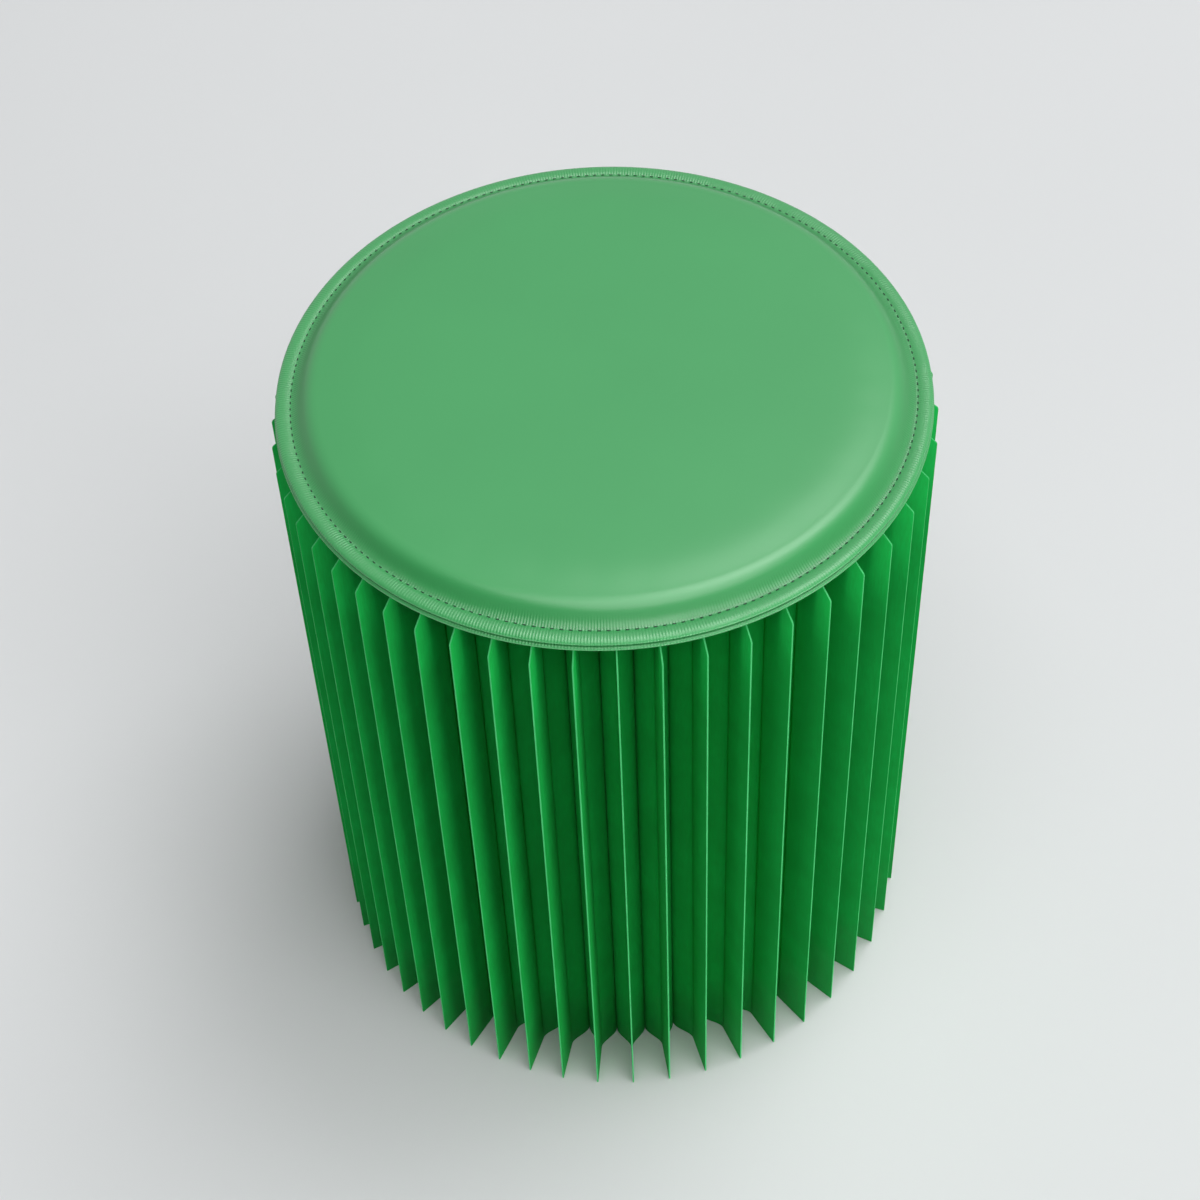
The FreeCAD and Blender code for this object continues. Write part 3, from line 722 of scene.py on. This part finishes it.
def make_leatherette():
    """Satin polyurethane skin, pebble-grained, gathered in radial ribs at its sewn lip."""
    material, tree, shader, place = start_material("polyurethane_leatherette", 0.42)
    spot = add_node(tree, "ShaderNodeSeparateXYZ", {0: place})
    flat = add_node(tree, "ShaderNodeCombineXYZ", {"X": spot.outputs["X"], "Y": spot.outputs["Y"]})
    radius = add_node(tree, "ShaderNodeVectorMath", {0: flat.outputs["Vector"]}, operation="LENGTH")
    angle = add_node(tree, "ShaderNodeMath", {
        0: spot.outputs["Y"], 1: spot.outputs["X"],
    }, operation="ARCTAN2")
    ribs_round = float(round(2 * math.pi * PAD_RADIUS / RIB_PITCH))
    rib_angle = add_node(tree, "ShaderNodeMath", {0: angle.outputs[0], 1: ribs_round}, operation="MULTIPLY")
    ribs = add_node(tree, "ShaderNodeMath", {0: rib_angle.outputs[0]}, operation="SINE")
    on_lip = add_node(tree, "ShaderNodeMapRange", {
        "Value": radius.outputs["Value"], "From Min": CROWN_FOOT - RIB_FADE, "From Max": CROWN_FOOT,
    }, interpolation_type="SMOOTHSTEP")
    patches = add_node(tree, "ShaderNodeTexNoise", {"Vector": place, "Scale": 1 / RIB_PATCH, "Detail": 1.0})
    rib_share = add_node(tree, "ShaderNodeMath", {
        0: on_lip.outputs["Result"], 1: patches.outputs["Fac"],
    }, operation="MULTIPLY")
    rib_height = add_node(tree, "ShaderNodeMath", {
        0: ribs.outputs[0], 1: rib_share.outputs[0],
    }, operation="MULTIPLY")

    grain = add_node(tree, "ShaderNodeTexVoronoi", {
        "Vector": place, "Scale": 1 / GRAIN_SIZE, "Randomness": 1.0,
    }, feature="SMOOTH_F1")
    pores = add_node(tree, "ShaderNodeTexNoise", {"Vector": place, "Scale": 1 / PORE_SIZE, "Detail": 2.0})
    height = add_node(tree, "ShaderNodeMath", {
        0: grain.outputs["Distance"], 1: pores.outputs["Fac"],
    }, operation="ADD")
    grain_relief = add_node(tree, "ShaderNodeBump", {
        "Height": height.outputs[0], "Strength": 0.10, "Distance": RELIEF_DEPTH,
    })
    rib_relief = add_node(tree, "ShaderNodeBump", {
        "Height": rib_height.outputs[0], "Strength": 0.9, "Distance": RELIEF_DEPTH,
        "Normal": grain_relief.outputs["Normal"],
    })

    mottle = add_node(tree, "ShaderNodeTexNoise", {"Vector": place, "Scale": 1 / MOTTLE_SIZE, "Detail": 2.0})
    blend = add_node(tree, "ShaderNodeMix", {
        "Factor": mottle.outputs["Fac"], MIX_A: linear("#3A9A56"), MIX_B: linear(LEATHERETTE_GREEN),
    }, data_type="RGBA")
    # painted shade: the base colour darkens in a band round the crown's slope
    from_slope_shade = add_node(tree, "ShaderNodeMath", {
        0: radius.outputs["Value"], 1: SLOPE_SHADE_RADIUS,
    }, operation="SUBTRACT")
    away = add_node(tree, "ShaderNodeMath", {0: from_slope_shade.outputs[0]}, operation="ABSOLUTE")
    in_slope_shade = add_node(tree, "ShaderNodeMapRange", {
        "Value": away.outputs[0], "From Max": SLOPE_SHADE_WIDTH, "To Min": 1.0, "To Max": 0.0,
    }, interpolation_type="SMOOTHSTEP")
    with_slope_shade = add_node(tree, "ShaderNodeMix", {
        "Factor": in_slope_shade.outputs["Result"], MIX_A: blend.outputs[MIX_RESULT], MIX_B: linear(PAINTED_SLOPE_SHADE),
    }, data_type="RGBA")
    dullness = add_node(tree, "ShaderNodeMapRange", {
        "Value": pores.outputs["Fac"], "To Min": 0.31, "To Max": 0.41,
    })
    tree.links.new(with_slope_shade.outputs[MIX_RESULT], shader.inputs["Base Color"])
    tree.links.new(dullness.outputs["Result"], shader.inputs["Roughness"])
    tree.links.new(rib_relief.outputs["Normal"], shader.inputs["Normal"])
    shader.inputs["Specular IOR Level"].default_value = 0.8
    return material


leatherette = make_leatherette()
print("leatherette:", leatherette.name)

# %% [markdown]
# ## The pad
# A round sheet of leatherette is drawn over foam and sewn down in a wide lip, which leaves a crease at the
# foot of a low crown. A turned profile alone would look machined. So the crown starts a little low, the
# lip and underside are held still, and Blender's cloth is blown up from inside until the skin is tight.
# Foam only gives so much, so no point may rise further than the foam would push it.

# %% The pad's profile
PAD_SEGMENTS = 180
STUFFING_LIMIT = 0.9 * MM
STUFFING_PRESSURE = 4.0
STUFFING_FRAMES = 20
PUCKER_SHARE = 0.2  # how much of the cover's puckering the foam under it lets show
CREASE = (162.2, 425.75)  # radius and height of the foot of the crown, in mm, as all profiles here
SLOPE_ANGLE = math.radians(46)
SHOULDER_RADIUS = 12.5
SHOULDER_HEIGHT = 435.4  # before stuffing
CROWN_RISE = 1.2  # from there to the middle
FLAT_RADII = (0.0, 20.0, 40.0, 60.0, 80.0, 100.0, 116.0, 129.0, 138.0)
SHOULDER_STEPS = 9
SLOPE_STEPS = 4
LIP_PROFILE = [
    CREASE, (162.9, 425.60), (163.6, 425.65), (164.3, 425.95), (165.3, 426.20), (166.6, 426.30),
    (168.0, 426.30), (169.3, 426.05), (170.3, 425.60), (171.0, 425.00), (171.3, 424.40), (171.1, 423.95),
    (170.5, 423.75), (169.4, 423.60),
]
UNDER_PROFILE = [(168.0, 423.05), (158.0, 423.05), (120.0, 423.05), (60.0, 423.05), (0.0, 423.05)]


def crown_profile():
    """The top before stuffing: nearly flat, then a round shoulder and a straight slope to the crease."""
    corner = CREASE[0] - (SHOULDER_HEIGHT - CREASE[1]) / math.tan(SLOPE_ANGLE)
    start = corner - SHOULDER_RADIUS * math.tan(SLOPE_ANGLE / 2)
    profile = [(radius, SHOULDER_HEIGHT + CROWN_RISE * (1 - (radius / start) ** 3)) for radius in FLAT_RADII]
    for step in range(SHOULDER_STEPS + 1):
        tilt = SLOPE_ANGLE * step / SHOULDER_STEPS
        drop = SHOULDER_RADIUS * (1 - math.cos(tilt))
        profile.append((start + SHOULDER_RADIUS * math.sin(tilt), SHOULDER_HEIGHT - drop))
    slope_top = Vector(profile[-1])
    for step in range(1, SLOPE_STEPS):
        profile.append(tuple(slope_top.lerp(Vector(CREASE), step / SLOPE_STEPS)))
    return profile


def turned_mesh(name, profile, segments):
    """A closed round mesh from a profile of radii and heights in mm, from the axis and back to it."""
    turning = bmesh.new()
    rings = []
    for radius, height in profile:
        count = segments if radius else 1
        rings.append([turning.verts.new(Vector((
            radius * math.cos(2 * math.pi * step / segments),
            radius * math.sin(2 * math.pi * step / segments),
            height,
        )) * MM) for step in range(count)])
    for upper, lower in zip(rings, rings[1:]):
        for step in range(segments):
            corners = [
                upper[step % len(upper)], lower[step % len(lower)],
                lower[(step + 1) % len(lower)], upper[(step + 1) % len(upper)],
            ]
            turning.faces.new(list(dict.fromkeys(corners)))
    for face in turning.faces:
        face.smooth = True
    mesh = bpy.data.meshes.new(name)
    turning.to_mesh(mesh)
    turning.free()
    return mesh


def round_off(piece):
    """Smooth a turned piece by one level of subdivision."""
    rounding = piece.modifiers.new("rounding", "SUBSURF")
    rounding.levels = rounding.render_levels = 1


def new_piece(name, mesh, material):
    """A piece in the scene with one material."""
    mesh.materials.append(material)
    piece = bpy.data.objects.new(name, mesh)
    scene.collection.objects.link(piece)
    return piece


pad_profile = crown_profile() + LIP_PROFILE + UNDER_PROFILE
pad = new_piece("pad_cushion", turned_mesh("pad_cushion", pad_profile, PAD_SEGMENTS), leatherette)
print("pad before stuffing:", len(pad.data.vertices), "points")

# %% Blow the crown up against its foam


def stuff(piece, sewn_radius, limit, pressure):
    """Simulate the cover under pressure, holding all that is sewn or lies flat, and cap how far it moves."""
    mesh = piece.data
    start = [vertex.co.copy() for vertex in mesh.vertices]
    crease_height = CREASE[1] * MM
    held = piece.vertex_groups.new(name="sewn_down")
    for vertex in mesh.vertices:
        if vertex.co.xy.length > sewn_radius or vertex.co.z < crease_height:
            held.add([vertex.index], 1.0, "REPLACE")
    cloth = piece.modifiers.new("cover", "CLOTH")
    cloth.settings.quality = 6
    cloth.settings.mass = 0.05
    cloth.settings.tension_stiffness = 30
    cloth.settings.compression_stiffness = 30
    cloth.settings.shear_stiffness = 15
    cloth.settings.bending_stiffness = 2
    cloth.settings.vertex_group_mass = held.name
    cloth.settings.use_pressure = True
    cloth.settings.uniform_pressure_force = pressure
    cloth.settings.effector_weights.gravity = 0
    cloth.point_cache.frame_start = 1
    cloth.point_cache.frame_end = STUFFING_FRAMES
    for step in range(1, STUFFING_FRAMES + 1):
        scene.frame_set(step)
    depsgraph = bpy.context.evaluated_depsgraph_get()
    blown = [vertex.co.copy() for vertex in piece.evaluated_get(depsgraph).data.vertices]
    piece.modifiers.remove(cloth)
    piece.vertex_groups.remove(held)
    scene.frame_set(1)
    rings = {}
    for index, (begin, end) in enumerate(zip(start, blown)):
        key = (round(begin.xy.length / MM, 1), round(begin.z / MM, 2))
        outward = Vector((begin.x, begin.y, 0)).normalized()
        rings.setdefault(key, []).append((index, outward, (end - begin).dot(outward), (end - begin).z))
    for ring in rings.values():
        even_out = sum(item[2] for item in ring) / len(ring)
        even_up = sum(item[3] for item in ring) / len(ring)
        for index, outward, out, up in ring:
            out = even_out + (out - even_out) * PUCKER_SHARE
            up = even_up + (up - even_up) * PUCKER_SHARE
            move = outward * out + Vector((0, 0, up))
            mesh.vertices[index].co = start[index] + move * min(1.0, limit / max(move.length, limit))
    return max((end - begin).length for begin, end in zip(start, blown))


furthest = stuff(pad, CROWN_FOOT, STUFFING_LIMIT, STUFFING_PRESSURE)
print("stuffing would move the cover", round(furthest / MM, 2), "mm")
round_off(pad)
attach(pad, "seat_pad")
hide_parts("pad_top_cover", "pad_foam")
print("pad top, mm:", round(max(vertex.co.z for vertex in pad.data.vertices) / MM, 2))

# %% [markdown]
# ## The lower panel
# Under the lip lies a second layer: the lower panel, doubled over into a hem. Its folded edge is as round
# as the lip's, so a thin dark line shows between the two layers. The same turned mesh does it.

# %% Lower panel
LOWER_PROFILE = [
    (0.0, 421.15), (60.0, 421.15), (120.0, 421.15), (157.6, 421.15), (158.1, 421.35), (158.3, 422.5),
    (159.2, 422.9), (164.0, 422.95), (168.6, 422.85), (170.3, 422.6), (171.4, 422.15), (171.9, 421.5),
    (171.8, 420.8), (171.2, 420.25), (169.8, 420.03), (120.0, 420.02), (60.0, 420.02), (0.0, 420.02),
]
lower_mesh = turned_mesh("pad_lower_panel", LOWER_PROFILE, PAD_SEGMENTS)
lower_panel = new_piece("pad_lower_panel", lower_mesh, leatherette)
round_off(lower_panel)
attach(lower_panel, "seat_pad")
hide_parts("pad_bottom_cover")
print("lower panel:", len(lower_panel.data.polygons), "faces")

# %% [markdown]
# ## The stitches
# A lockstitch of polyester thread runs round the lip, about 4.6 mm from hole to hole. Each stitch is pulled
# into the skin. Its dark green colour is partly the thread's own and partly painted shade of the dip it is
# pulled into, so it reads as a short dark dash. Geometry Nodes set one small stitch on every point of a
# circle, turned along the seam.

# %% Thread and stitches
STITCH_SIZES = {
    "Seam radius": 163.2 * MM,
    "Seam height": 425.70 * MM,
    "Stitch length": 2.2 * MM,
    "Stitch width": 0.8 * MM,
    "Stitch thickness": 0.5 * MM,
}
STITCH_COUNT = 225


def make_thread():
    """Polyester sewing thread: dark green, faintly shiny, twisted from two plies; its darkness is partly
    painted shade.
    """
    material, tree, shader, place = start_material("polyester_thread", 0.55)
    twist = add_node(tree, "ShaderNodeTexNoise", {"Vector": place, "Scale": 1 / (0.5 * MM), "Detail": 2.0})
    # dark green, partly painted shade of the dip each stitch is pulled into
    blend = add_node(tree, "ShaderNodeMix", {
        "Factor": twist.outputs["Fac"], MIX_A: linear("#05301A"), MIX_B: linear("#0C4526"),
    }, data_type="RGBA")
    relief = add_node(tree, "ShaderNodeBump", {
        "Height": twist.outputs["Fac"], "Strength": 0.4, "Distance": 0.08 * MM,
    })
    tree.links.new(blend.outputs[MIX_RESULT], shader.inputs["Base Color"])
    tree.links.new(relief.outputs["Normal"], shader.inputs["Normal"])
    return material


def stitch_tree():
    """Stitches laid end to end round a circle, with a gap at every needle hole."""
    sizes = {label: "NodeSocketFloat" for label in STITCH_SIZES}
    tree, given = start_tree("round_of_stitches", {
        **sizes, "Stitches": "NodeSocketInt", "Thread": "NodeSocketMaterial",
    })
    ring = add_node(tree, "GeometryNodeMeshCircle", {
        "Vertices": given["Stitches"], "Radius": given["Seam radius"],
    })
    lifted = add_node(tree, "GeometryNodeTransform", {
        "Geometry": ring.outputs["Mesh"],
        "Translation": add_node(tree, "ShaderNodeCombineXYZ", {"Z": given["Seam height"]}).outputs["Vector"],
    })
    bead = add_node(tree, "GeometryNodeMeshUVSphere", {"Segments": 8, "Rings": 5, "Radius": 0.5})
    shape = add_node(tree, "ShaderNodeCombineXYZ", {
        "X": given["Stitch width"], "Y": given["Stitch length"], "Z": given["Stitch thickness"],
    })
    spot = add_node(tree, "ShaderNodeSeparateXYZ", {
        0: add_node(tree, "GeometryNodeInputPosition").outputs["Position"],
    })
    angle = add_node(tree, "ShaderNodeMath", {
        0: spot.outputs["Y"], 1: spot.outputs["X"],
    }, operation="ARCTAN2")
    way = add_node(tree, "ShaderNodeCombineXYZ", {"Z": angle.outputs[0]})
    laid = add_node(tree, "GeometryNodeInstanceOnPoints", {
        "Points": lifted.outputs["Geometry"], "Instance": bead.outputs["Mesh"],
        "Rotation": way.outputs["Vector"], "Scale": shape.outputs["Vector"],
    })
    real = add_node(tree, "GeometryNodeRealizeInstances", {"Geometry": laid.outputs["Instances"]})
    smooth = add_node(tree, "GeometryNodeSetShadeSmooth", {0: real.outputs["Geometry"], "Shade Smooth": True})
    threaded = add_node(tree, "GeometryNodeSetMaterial", {
        "Geometry": smooth.outputs[0], "Material": given["Thread"],
    })
    add_node(tree, "NodeGroupOutput", {"Mesh": threaded.outputs["Geometry"]})
    return tree


stitches = grow("lip_stitches", stitch_tree(), {
    **STITCH_SIZES, "Stitches": STITCH_COUNT, "Thread": make_thread(),
})
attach(stitches, "seat_pad")
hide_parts("pad_seam_thread")
print("stitches:", STITCH_COUNT, "with", len(stitches.data.polygons), "faces")
